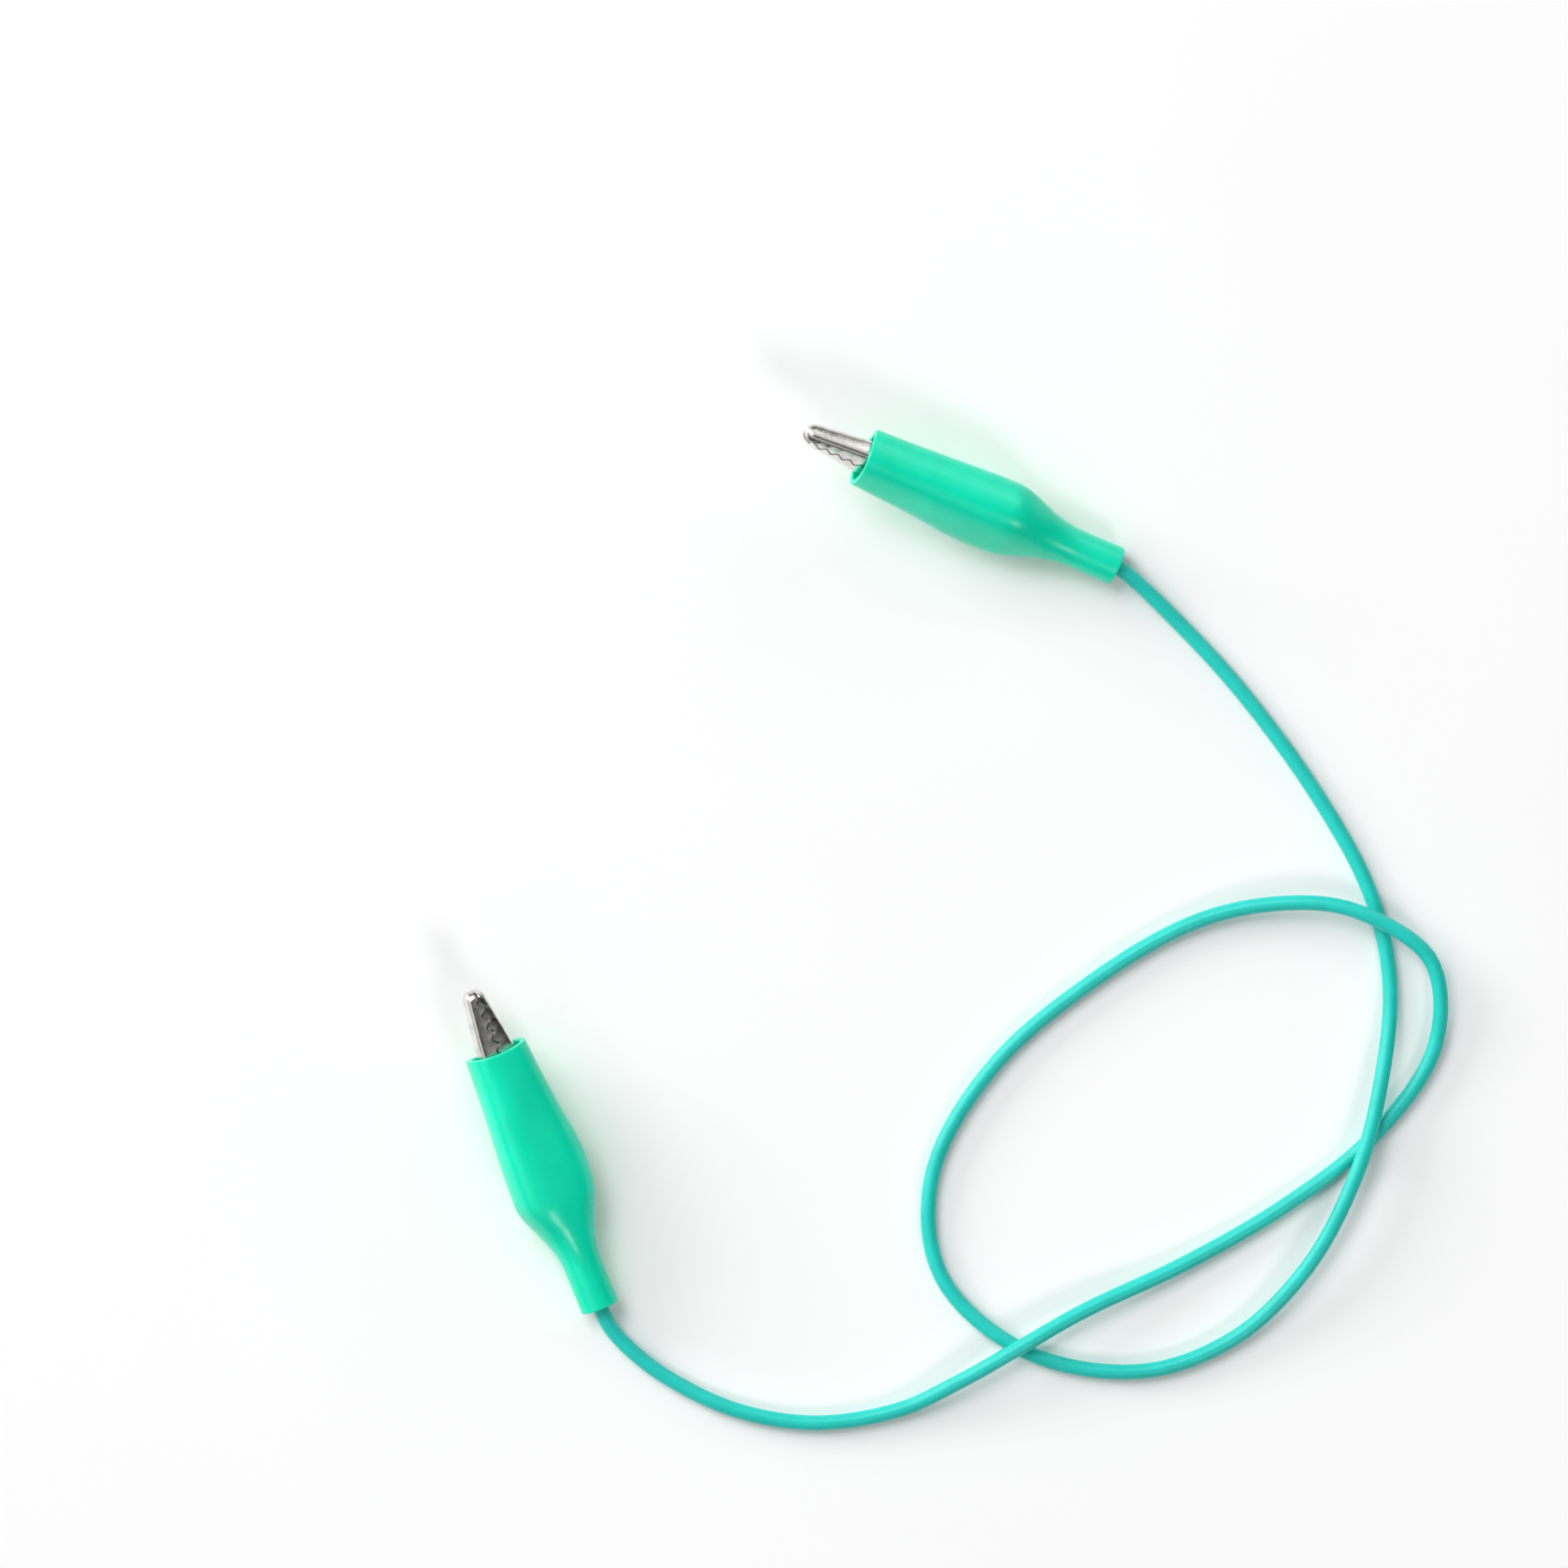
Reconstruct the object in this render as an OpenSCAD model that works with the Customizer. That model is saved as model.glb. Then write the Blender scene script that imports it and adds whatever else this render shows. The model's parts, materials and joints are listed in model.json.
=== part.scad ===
// Alligator clip lead: two sprung, toothed sheet-metal clips in soft sleeves, joined by one thin wire.
// Clip frame: origin on the hinge, +X to the nose, +Z to the moving jaw, Y along the hinge.

/* [Wire] */
// Outside diameter of the insulated wire
wire_d = 1.9; // [1.7:0.05:1.9]
// Diameter of one copper strand
strand_d = 0.29; // [0.25:0.01:0.29]

/* [Clip] */
// Hinge to the tip of the nose
nose_x = 17; // [16.5:0.1:17.5]
// Hinge to the end of a handle
handle_x = 11.5; // [11.2:0.1:11.6]
// Thickness of the sheet metal
sheet = 0.4; // [0.35:0.05:0.4]
// Width across the nose
nose_w = 2.6; // [2.4:0.05:2.7]
// Width across the fixed jaw's ears
ear_w = 4.1; // [4:0.05:4.2]
// Width across a handle
handle_w = 3.4; // [3.2:0.1:3.4]
// Distance from one tooth to the next
tooth_pitch = 1.6; // [1.4:0.05:1.7]
// Height of a tooth
tooth_h = 0.75; // [0.5:0.05:0.8]

/* [Hinge] */
// Diameter of the rivet's shank
rivet_d = 1.8; // [1.6:0.05:1.8]
// Diameter of the rivet's heads
rivet_head_d = 3; // [2.6:0.1:3.2]
// Radial clearance of the moving jaw on the rivet
run_gap = 0.05; // [0.03:0.01:0.08]

/* [Spring] */
// Diameter of the spring wire
spring_d = 0.45; // [0.4:0.01:0.45]
// Full turns between the two legs
spring_turns = 2; // [1:1:2]

/* [Sleeve] */
// Wall thickness of the sleeve
sleeve_wall = 0.7; // [0.6:0.05:0.7]
// Length of the sleeve's narrow collar
collar_len = 6; // [5:0.5:8]

/* [Hidden] */

NICKEL = [0.80, 0.79, 0.76];
SPRING_STEEL = [0.62, 0.62, 0.62];
COPPER = [0.80, 0.45, 0.25];
SLEEVE_GREEN = [0.06, 0.82, 0.65];
WIRE_TEAL = [0.14, 0.78, 0.71];
ROUND = 48;

// Where each clip lies: hinge x and y, heading of the nose, lift of the nose, roll about its length
CLIP_A = [-33.8, -30.7, 112, 7.5, -68];
CLIP_B = [16.7, 47.8, 157, 10.5, 32];

// Spine of a jaw: x and height of its outside face above the bite
SPINE_HINGE_Z = 2.9;
HANDLE_FROM_X = -3;
HANDLE_SLOPE = 0.14;
SPINE = [
  [-handle_x, SPINE_HINGE_Z + HANDLE_SLOPE * (handle_x + HANDLE_FROM_X)], [HANDLE_FROM_X, SPINE_HINGE_Z],
  [0, SPINE_HINGE_Z], [4, 2.8], [9, 2.35], [nose_x - 1.4, 1.35], [nose_x - 0.4, 1.15], [nose_x, 0.75]
];
EAR_R = 1.9;
REAR_WALL_X = -6;
TEETH_FROM_X = 6.4;
NOSE_LAND = 0.9;
BITE_GAP = 0.16;
SIDE_GAP = 0.05;
TOOTH_COUNT = floor((nose_x - NOSE_LAND - TEETH_FROM_X) / tooth_pitch);
BED = 0.03;
FAR = 20;

// Wire inside a sleeve: it leaves the crimp along the handle and rises to the collar's axis
HANDLE_ANGLE = atan(HANDLE_SLOPE);
JACKET_END_X = -9;
CRIMP_END_X = -12;
CORE_END_X = -5.2;
INSIDE = [[-15, 0, -1.75], [-19, 0, -0.6]];

// Sleeve: x, half height across the jaws, half width along the hinge, shift to the moving jaw's side
MOUTH_X = 9;
COLLAR_X = -20;
TAIL_X = COLLAR_X - collar_len;
SLEEVE = [
  [MOUTH_X, 3.9, 3.4, 0], [6, 4.1, 3.5, -0.05], [2, 4.45, 3.65, -0.1], [-2, 4.85, 3.8, -0.2],
  [-4.5, 5.15, 3.95, -0.3], [-7, 5.3, 4.05, -0.3], [-9, 5.3, 4.05, -0.2], [-10.5, 5.25, 4, -0.1],
  [-11.7, 5, 3.9, -0.05], [-13, 4.5, 3.65, 0], [-14.5, 3.9, 3.35, 0], [-16, 3.35, 3, 0],
  [-18, 2.75, 2.65, 0], [COLLAR_X, 2.5, 2.48, 0], [TAIL_X, 2.45, 2.45, 0]
];
SLEEVE_SIDES = 28;
BELLY_SQUARENESS = 2.6;

// The wire on the surface, from clip A to clip B, tied in one loose overhand knot
ROUTE = [
  [-21.8, -58.6, 1.5], [-16, -63.4, 0.97], [-7.2, -67.6, 0.97], [2.8, -69.2, 0.97], [13, -67.6, 1.15],
  [21, -63.8, 2.3], [28, -59.8, 3], [36.5, -55, 2.3], [49, -49.2, 1.2], [61, -42.3, 0.97],
  [72, -33.8, 0.97], [79.8, -23, 1.2], [79.8, -12, 2.5], [72, -6, 3], [63, -4.2, 2.4], [51, -6.3, 1.3],
  [38.5, -13.2, 0.97],
  [25.5, -24, 0.97], [17.5, -37.5, 0.97], [18.5, -51, 0.97], [29, -60.3, 0.97], [43, -62.8, 0.97],
  [55, -58.6, 1.2], [64, -49.8, 2.4], [69.8, -39, 3.1], [73, -28, 2.6], [74.5, -15, 1.1],
  [72, -3, 0.97], [65.5, 9, 0.97], [57, 20.8, 0.97], [48.5, 30.3, 1]
];
RINGS_A_SPAN = 2;
WIRE_SIDES = 8;
SPRING_SIDES = 8;

function unit(v) = v / norm(v);

// Height of a spine's outside face over a handle
function handle_z(x) = SPINE_HINGE_Z + HANDLE_SLOPE * (HANDLE_FROM_X - x);

// Height of the crimped wire's axis, below the bite
function crimp_z(x) = -(handle_z(x) - sheet) + (wire_d / 2 + BED) / cos(HANDLE_ANGLE);

// Turns a direction, and then a point, from the clip frame to where the clip lies
function tilted(v, clip) =
  let (y = v.y * cos(clip[4]) - v.z * sin(clip[4]), z = v.y * sin(clip[4]) + v.z * cos(clip[4]))
  [v.x * cos(clip[3]) - z * sin(clip[3]), y, v.x * sin(clip[3]) + z * cos(clip[3])];
function turned(v, clip) =
  let (t = tilted(v, clip), h = clip[2])
  [t.x * cos(h) - t.y * sin(h), t.x * sin(h) + t.y * cos(h), t.z];
function laid(v, clip) = turned(v, clip) + [clip[0], clip[1], hinge_height(clip)];

// Height of the hinge when the sleeve just touches the surface
function hinge_height(clip) =
  -min([for (s = SLEEVE) for (p = sleeve_ring(s, 0)) tilted(p, clip).z]);

// One ring of the sleeve: squarer over the handles, round at the collar
function squareness(s) = s.x <= COLLAR_X ? 2 : 2 + (BELLY_SQUARENESS - 2) * min(1, (s.x - COLLAR_X) / 6);
function power(c, e) = sign(c) * pow(abs(c), e);
function sleeve_ring(s, inset) =
  let (e = 2 / squareness(s))
  [for (i = [0 : SLEEVE_SIDES - 1]) let (a = 360 * i / SLEEVE_SIDES)
    [s.x, (s.z - inset) * power(cos(a), e), s[3] + (s.y - inset) * power(sin(a), e)]];

// Side faces between rings that follow each other in one list of points
function band(first, count, sides, flip) = [
  for (r = [first : first + count - 2]) for (i = [0 : sides - 1])
    let (j = (i + 1) % sides, a = r * sides, b = a + sides)
    flip ? [a + i, b + i, b + j, a + j] : [a + i, a + j, b + j, b + i]
];

// A smooth curve through the points, keeping its height over the surface
function curve_at(p0, p1, p2, p3, t) =
  0.5 * (2 * p1 + (p2 - p0) * t + (2 * p0 - 5 * p1 + 4 * p2 - p3) * t * t
    + (3 * p1 - p0 - 3 * p2 + p3) * t * t * t);
function smooth_curve(p, steps) = [
  for (i = [1 : len(p) - 3]) for (k = [0 : steps - 1 + (i == len(p) - 3 ? 1 : 0)])
    curve_at(p[i - 1], p[i], p[i + 1], p[i + 2], k / steps)
];
function above_surface(p) = [p.x, p.y, max(p.z, wire_d / 2)];

// A round wire along a line of points; beside is a direction that the line never follows
module swept(line, d, sides, beside) {
  n = len(line);
  rings = [
    for (i = [0 : n - 1])
      let (
        t = unit(line[min(i + 1, n - 1)] - line[max(i - 1, 0)]),
        u = unit(cross(t, beside)),
        v = cross(t, u)
      )
      for (k = [0 : sides - 1]) line[i] + d / 2 * (u * cos(360 * k / sides) + v * sin(360 * k / sides))
  ];
  ends = [[for (k = [0 : sides - 1]) k], [for (k = [sides - 1 : -1 : 0]) (n - 1) * sides + k]];
  polyhedron(rings, concat(band(0, n, sides, true), ends));
}

module at_clip(clip) {
  translate([clip[0], clip[1], hinge_height(clip)])
    rotate([0, 0, clip[2]]) rotate([0, -clip[3], 0]) rotate([clip[4], 0, 0]) children();
}

module along_y(width) {
  translate([0, width / 2, 0]) rotate([90, 0, 0]) linear_extrude(width) children();
}

// Side view of a jaw, with its teeth, its ear and the wall behind the ear
module jaw_side(tooth_sign) {
  teeth = [
    for (i = [0 : 2 * TOOTH_COUNT]) let (point = tooth_sign * (i % 2 == 0 ? -1 : 1))
      [nose_x - NOSE_LAND - i * tooth_pitch / 2, (BITE_GAP + point * tooth_h) / 2]
  ];
  ear = [for (a = [0 : 10 : 180]) EAR_R * [cos(a), -sin(a)]];
  back = REAR_WALL_X;
  polygon(concat(
    SPINE, [[nose_x, BITE_GAP / 2], [nose_x - NOSE_LAND / 2, BITE_GAP / 2]], teeth,
    [[TEETH_FROM_X - 1, BITE_GAP / 2], [EAR_R + 0.2, BITE_GAP / 2]], ear,
    [[back, handle_z(back) - sheet], [-handle_x, handle_z(-handle_x) - sheet]]
  ));
}

// Plan of a jaw, drawn in by inset on every side
module jaw_plan(half_ear, inset) {
  nose_r = nose_w / 2;
  handle_r = handle_w / 2;
  half = [
    [nose_x - nose_r, nose_r], [MOUTH_X, nose_r + 0.2], [TEETH_FROM_X, nose_r + 0.3], [4.4, half_ear],
    [HANDLE_FROM_X - 0.5, half_ear], [HANDLE_FROM_X - 2.5, handle_r], [handle_r - handle_x, handle_r]
  ];
  last = len(half) - 1;
  polygon(concat(
    [for (p = half) [p.x, p.y - inset]], [for (i = [last : -1 : 0]) [half[i].x, inset - half[i].y]]
  ));
  translate([nose_x - nose_r, 0]) circle(r = nose_r - inset, $fn = ROUND);
  translate([handle_r - handle_x, 0]) circle(r = handle_r - inset, $fn = ROUND);
}

// A folded channel: spine, two toothed walls and a closed nose
module jaw(half_ear, tooth_sign, hole_r) {
  back = [REAR_WALL_X, handle_z(REAR_WALL_X) - sheet];
  roof = concat([back], [for (i = [1 : len(SPINE) - 1]) [SPINE[i].x, SPINE[i].y - sheet]]);
  difference() {
    intersection() {
      along_y(FAR) jaw_side(tooth_sign);
      translate([0, 0, -FAR / 2]) linear_extrude(FAR) jaw_plan(half_ear, 0);
    }
    intersection() {
      along_y(FAR) polygon(concat(roof, [[nose_x, -FAR / 2], [REAR_WALL_X, -FAR / 2]]));
      translate([0, 0, -FAR / 2]) linear_extrude(FAR) jaw_plan(half_ear, sheet);
    }
    rotate([90, 0, 0]) cylinder(r = hole_r, h = FAR, center = true, $fn = ROUND);
  }
}

// Two folded tabs round the wire, standing on the handle
module crimp(x, length, bore_r, wall, top) {
  foot = wire_d / 2 + sheet / 2;
  translate([x, 0, crimp_z(x)]) rotate([0, -HANDLE_ANGLE, 0]) difference() {
    union() {
      rotate([0, 90, 0]) cylinder(r = bore_r + wall, h = length, center = true, $fn = ROUND);
      translate([-length / 2, -bore_r - wall / 2, -foot]) cube([length, 2 * bore_r + wall, foot]);
    }
    rotate([0, 90, 0]) cylinder(r = bore_r, h = length + 1, center = true, $fn = ROUND);
    translate([-length, -FAR / 2, top]) cube([2 * length, FAR, FAR]);
    translate([-length, -FAR / 2, -foot - FAR]) cube([2 * length, FAR, FAR]);
  }
}

module fixed_jaw() {
  color(NICKEL) {
    mirror([0, 0, 1]) jaw(ear_w / 2, -1, rivet_d / 2);
    crimp(-10.6, 2, wire_d / 2, 0.35, 0.7);
    crimp(-7, 1.6, 1.5 * strand_d + 0.03, 0.35, 0.4);
  }
}

module moving_jaw() {
  color(NICKEL) jaw(ear_w / 2 - sheet - SIDE_GAP, 1, rivet_d / 2 + run_gap);
}

// A shank through both jaws' ears, with a domed head at each end
module rivet() {
  head = 0.42;
  half = ear_w / 2;
  dome = [for (a = [0 : 15 : 90]) [rivet_head_d / 2 * cos(a), half + head * sin(a)]];
  outline = concat(
    [[0, -half - head]], [for (i = [len(dome) - 2 : -1 : 0]) [dome[i].x, -dome[i].y]],
    [[rivet_d / 2, -half], [rivet_d / 2, half]], dome
  );
  color(NICKEL) rotate([90, 0, 0]) rotate_extrude($fn = ROUND) polygon(outline);
}

// A coil round the rivet whose two legs press the handles apart
module torsion_spring() {
  coil_r = rivet_d / 2 + 0.2 + spring_d / 2;
  step = 30;
  lift = sheet + spring_d / 2 + 0.04;
  moving_foot = [-6.5, handle_z(-6.5) - lift];
  fixed_foot = [-4.6, lift - handle_z(-4.6)];
  start = atan2(moving_foot.y, moving_foot.x) - acos(coil_r / norm(moving_foot));
  finish = atan2(fixed_foot.y, fixed_foot.x) + acos(coil_r / norm(fixed_foot)) - 360 * spring_turns;
  count = ceil((start - finish) / step);
  width = 0.5 * (start - finish) / 360;
  coil = [
    for (i = [0 : count]) let (a = start - (start - finish) * i / count)
      [coil_r * cos(a), width / 2 - width * i / count, coil_r * sin(a)]
  ];
  legs = [[moving_foot.x, width / 2, moving_foot.y], [fixed_foot.x, -width / 2, fixed_foot.y]];
  color(SPRING_STEEL) swept(concat([legs[0]], coil, [legs[1]]), spring_d, SPRING_SIDES, [0, 1, 0]);
}

// Soft sleeve: open oval mouth, a belly over the handles and a round collar for the wire
module boot() {
  n = len(SLEEVE);
  s = SLEEVE_SIDES;
  outside = [for (r = SLEEVE) each sleeve_ring(r, 0)];
  inside = [for (r = SLEEVE) each sleeve_ring(r, sleeve_wall)];
  mouth_rim = [for (i = [0 : s - 1]) let (j = (i + 1) % s) [n * s + i, n * s + j, j, i]];
  last = (n - 1) * s;
  tail_rim = [for (i = [0 : s - 1]) let (j = (i + 1) % s)
    [last + i, last + j, n * s + last + j, n * s + last + i]];
  color(SLEEVE_GREEN) polyhedron(
    concat(outside, inside),
    concat(band(0, n, s, false), band(n, n, s, true), mouth_rim, tail_rim)
  );
}

// Bare ends of the seven copper strands, under the inner crimp
module conductor_end() {
  length = (CORE_END_X - JACKET_END_X) / cos(HANDLE_ANGLE);
  color(COPPER) translate([JACKET_END_X, 0, crimp_z(JACKET_END_X)]) rotate([0, -HANDLE_ANGLE, 0]) {
    rotate([0, 90, 0]) cylinder(d = strand_d, h = length, $fn = 16);
    for (a = [0 : 60 : 300]) rotate([a, 0, 0]) translate([0, 0, strand_d + 0.01]) rotate([0, 90, 0])
      cylinder(d = strand_d, h = length, $fn = 16);
  }
}

// The insulated wire, from the crimp in clip A, round the knot, to the crimp in clip B
module wire_jacket() {
  a = inside_clip(CLIP_A);
  b = inside_clip(CLIP_B);
  free = concat([for (i = [1 : 4]) a[i]], ROUTE, [for (i = [4 : -1 : 1]) b[i]]);
  line = smooth_curve(concat([a[0]], free, [b[0]]), RINGS_A_SPAN);
  color(WIRE_TEAL)
    swept([for (p = concat([a[0]], line, [b[0]])) above_surface(p)], wire_d, WIRE_SIDES, [0, 0, 1]);
}
function inside_clip(clip) = [
  for (p = concat([[JACKET_END_X, 0, crimp_z(JACKET_END_X)], [CRIMP_END_X, 0, crimp_z(CRIMP_END_X)]],
    INSIDE, [[TAIL_X, 0, 0]])) laid(p, clip)
];

at_clip(CLIP_A) fixed_jaw();  // fixed_jaw_a
at_clip(CLIP_A) moving_jaw();  // moving_jaw_a
at_clip(CLIP_A) rivet();  // rivet_a
at_clip(CLIP_A) torsion_spring();  // torsion_spring_a
at_clip(CLIP_A) boot();  // boot_a
at_clip(CLIP_A) conductor_end();  // conductor_end_a
at_clip(CLIP_B) fixed_jaw();  // fixed_jaw_b
at_clip(CLIP_B) moving_jaw();  // moving_jaw_b
at_clip(CLIP_B) rivet();  // rivet_b
at_clip(CLIP_B) torsion_spring();  // torsion_spring_b
at_clip(CLIP_B) boot();  // boot_b
at_clip(CLIP_B) conductor_end();  // conductor_end_b
wire_jacket();
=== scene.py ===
"""Alligator clip lead: the finished look of its clips, sleeves and wire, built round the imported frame.

Each clip is shaped in its own frame, in millimetres: the origin is on the hinge, +X runs to the nose,
+Y along the hinge and +Z to the moving jaw. lay() then takes it to where the frame holds that clip.
"""

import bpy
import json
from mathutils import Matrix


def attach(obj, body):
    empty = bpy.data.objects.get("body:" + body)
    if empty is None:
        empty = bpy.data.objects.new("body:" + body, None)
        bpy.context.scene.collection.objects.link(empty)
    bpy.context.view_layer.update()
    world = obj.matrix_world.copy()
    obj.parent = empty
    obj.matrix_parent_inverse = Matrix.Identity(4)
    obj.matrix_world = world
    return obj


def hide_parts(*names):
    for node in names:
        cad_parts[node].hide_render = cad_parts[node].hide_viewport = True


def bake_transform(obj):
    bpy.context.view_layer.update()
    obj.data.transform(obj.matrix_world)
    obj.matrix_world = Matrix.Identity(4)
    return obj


bl_info = {
    "name": "Alligator Clip Lead",
    "version": (1, 0, 0),
    "blender": (4, 5, 0),
    "location": "3D View > Sidebar > Clip Lead",
    "description": "Builds the jaws, springs, sleeves and wire of an alligator clip lead",
    "category": "Add Mesh",
}

import json
import math

import bmesh
import bpy
from mathutils import Matrix, Vector, noise

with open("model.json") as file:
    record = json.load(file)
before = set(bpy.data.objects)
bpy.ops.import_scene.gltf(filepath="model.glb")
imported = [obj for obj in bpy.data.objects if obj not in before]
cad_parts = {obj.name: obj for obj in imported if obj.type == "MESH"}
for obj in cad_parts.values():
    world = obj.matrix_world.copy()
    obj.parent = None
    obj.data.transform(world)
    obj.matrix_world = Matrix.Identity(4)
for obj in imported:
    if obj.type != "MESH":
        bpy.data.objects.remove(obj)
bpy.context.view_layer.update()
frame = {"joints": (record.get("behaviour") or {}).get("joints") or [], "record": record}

MM = 0.001
SIDES = ("a", "b")

# The clip's plan, as in the frame: lengths are in millimetres, in the clip's own frame
NOSE_X = 17.0
HANDLE_X = 11.5
NOSE_R = 1.3
HANDLE_R = 1.7
MOUTH_X = 9.0
COLLAR_X = -20.0
TAIL_X = -26.0
EAR_R = 1.9
RIVET_R = 0.9
RUN_GAP = 0.05
NOSE_LAND = 0.9
TEETH_END_X = 6.4
REAR_WALL_X = -6.0
HANDLE_FROM_X = -3.0
HANDLE_SLOPE = 0.14
SPINE_HINGE_Z = 2.9
SPINE = [(-3.0, 2.9), (0.0, 2.9), (4.0, 2.8), (9.0, 2.35), (15.6, 1.35), (16.6, 1.15), (17.0, 0.75)]
EAR_HALF = 2.05
SIDE_GAP = 0.05

# The bite: its gap, how much its points are rounded off, and how soon the teeth fade in and out
BITE_GAP = 0.13
TOOTH_ROUNDING = 0.18
TOOTH_FADE = 0.3

# A jaw's fold: draft and crown, then the shares of half its sheet that are flat and that end the fold
DRAFT = 0.16
CROWN = 0.07
FLAT_SHARE = 0.25
FOLD_SHARE = 0.6

# Spring: where its legs touch the handles, its turns, and its room round the rivet and under the sheet
MOVING_FOOT_X = -6.5
FIXED_FOOT_X = -4.6
SPRING_TURNS = 2
COIL_ROOM = 0.2
LEG_ROOM = 0.04

# The wire inside a sleeve, BED above the handle's sheet: a crimp is its place, length and opening in radians
BED = 0.03
OUTER_CRIMP = (-10.6, 2.0, 0.7)
INNER_CRIMP = (-7.0, 1.6, 0.9)
JACKET_END_X = -9.0
CRIMP_END_X = -12.0
CORE_END_X = -5.2
INSIDE = [(-15.0, 0.0, -1.75), (-19.0, 0.0, -0.6)]

# Sleeve: x, half height across the jaws, half width along the hinge, shift to the moving jaw's side
SLEEVE = [
    (9.0, 3.9, 3.4, 0.0), (6.0, 4.1, 3.5, -0.05), (2.0, 4.45, 3.65, -0.1), (-2.0, 4.85, 3.8, -0.2),
    (-4.5, 5.15, 3.95, -0.3), (-7.0, 5.3, 4.05, -0.3), (-9.0, 5.3, 4.05, -0.2), (-10.5, 5.25, 4.0, -0.1),
    (-11.7, 5.0, 3.9, -0.05), (-13.0, 4.5, 3.65, 0.0), (-14.5, 3.9, 3.35, 0.0), (-16.0, 3.35, 3.0, 0.0),
    (-18.0, 2.75, 2.65, 0.0), (-20.0, 2.5, 2.48, 0.0), (-26.0, 2.45, 2.45, 0.0),
]

# A ring is an oval of power 2 at the collar, and of this much more from the belly to the mouth
ADDED_POWER = 0.6
# How far the mouth's rim is set back at its sides
MOUTH_DIP = 0.3

# The wire on the surface, from clip A to clip B, tied in one loose overhand knot
ROUTE = [
    (-21.8, -58.6, 1.5), (-16, -63.4, 0.97), (-7.2, -67.6, 0.97), (2.8, -69.2, 0.97),
    (13, -67.6, 1.15), (21, -63.8, 2.3), (28, -59.8, 3), (36.5, -55, 2.3), (49, -49.2, 1.2),
    (61, -42.3, 0.97), (72, -33.8, 0.97), (79.8, -23, 1.2), (79.8, -12, 2.5), (72, -6, 3), (63, -4.2, 2.4),
    (51, -6.3, 1.3), (38.5, -13.2, 0.97),
    (25.5, -24, 0.97), (17.5, -37.5, 0.97), (18.5, -51, 0.97), (29, -60.3, 0.97), (43, -62.8, 0.97),
    (55, -58.6, 1.2), (64, -49.8, 2.4), (69.8, -39, 3.1), (73, -28, 2.6), (74.5, -15, 1.1),
    (72, -3, 0.97), (65.5, 9, 0.97), (57, 20.8, 0.97), (48.5, 30.3, 1),
]

# The stage, in metres: the camera looks straight down on a square of FRAME_WIDTH round FRAME_MIDDLE
CAMERA_HEIGHT = 1.2
FRAME_WIDTH = 0.196
FRAME_MIDDLE = (-0.0012, 0.0106)
LIGHT_AIM = (0.01, 0.0, 0.0)


class ClipLeadSizes(bpy.types.PropertyGroup):
    """Sizes that may be changed without moving a joint"""

    wire: bpy.props.FloatProperty(
        name="Wire", description="Outside diameter of the wire", default=1.9 * MM, unit="LENGTH"
    )
    wall: bpy.props.FloatProperty(
        name="Sleeve wall", description="Thickness of the sleeve", default=0.7 * MM, unit="LENGTH"
    )
    sheet: bpy.props.FloatProperty(
        name="Sheet", description="Thickness of the jaws' metal", default=0.4 * MM, unit="LENGTH"
    )
    pitch: bpy.props.FloatProperty(
        name="Tooth pitch", description="From one tooth to the next", default=1.6 * MM, unit="LENGTH"
    )
    tooth: bpy.props.FloatProperty(
        name="Tooth height", description="Height of a tooth", default=0.75 * MM, unit="LENGTH"
    )
    fold: bpy.props.FloatProperty(
        name="Fold", description="Outside radius of the jaws' folds", default=0.62 * MM, unit="LENGTH"
    )
    spring: bpy.props.FloatProperty(
        name="Spring wire", description="Diameter of the spring's wire", default=0.45 * MM, unit="LENGTH"
    )
    strand: bpy.props.FloatProperty(
        name="Strand", description="Diameter of a copper strand", default=0.29 * MM, unit="LENGTH"
    )


def colour_property(name, description, default):
    """A colour that a user may change."""
    return bpy.props.FloatVectorProperty(
        name=name, description=description, default=default, size=4, min=0.0, max=1.0, subtype="COLOR"
    )


class ClipLeadColours(bpy.types.PropertyGroup):
    """Colours of the lead and of the surface that it lies on"""

    sleeve: colour_property("Sleeve", "Soft moulded sleeve", (0.0, 0.84, 0.53, 1.0))
    sleeve_deep: colour_property("Sleeve, thick", "Sleeve where it is thickest", (0.0, 0.75, 0.455, 1.0))
    wire: colour_property("Wire", "Insulation of the wire", (0.008, 0.64, 0.56, 1.0))
    wire_deep: colour_property("Wire, worn", "Insulation where it is rubbed", (0.004, 0.55, 0.475, 1.0))
    nickel: colour_property("Nickel", "Plated jaws and rivets", (0.83, 0.81, 0.77, 1.0))
    nickel_dull: colour_property("Nickel, dull", "Plating where it is thin", (0.60, 0.57, 0.52, 1.0))
    steel: colour_property("Spring steel", "Drawn spring wire", (0.46, 0.46, 0.47, 1.0))
    copper: colour_property("Copper", "Bare strands", (0.78, 0.37, 0.20, 1.0))
    floor: colour_property("Floor", "Surface under the lead", (0.95, 0.95, 0.95, 1.0))


def sizes():
    """The sizes, in millimetres, by name."""
    group = bpy.context.scene.clip_lead_sizes
    return {name: getattr(group, name) / MM for name in ClipLeadSizes.__annotations__}


def colours():
    """The colours of this scene."""
    return bpy.context.scene.clip_lead_colours


# ---------------------------------------------------------------- where things are


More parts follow.
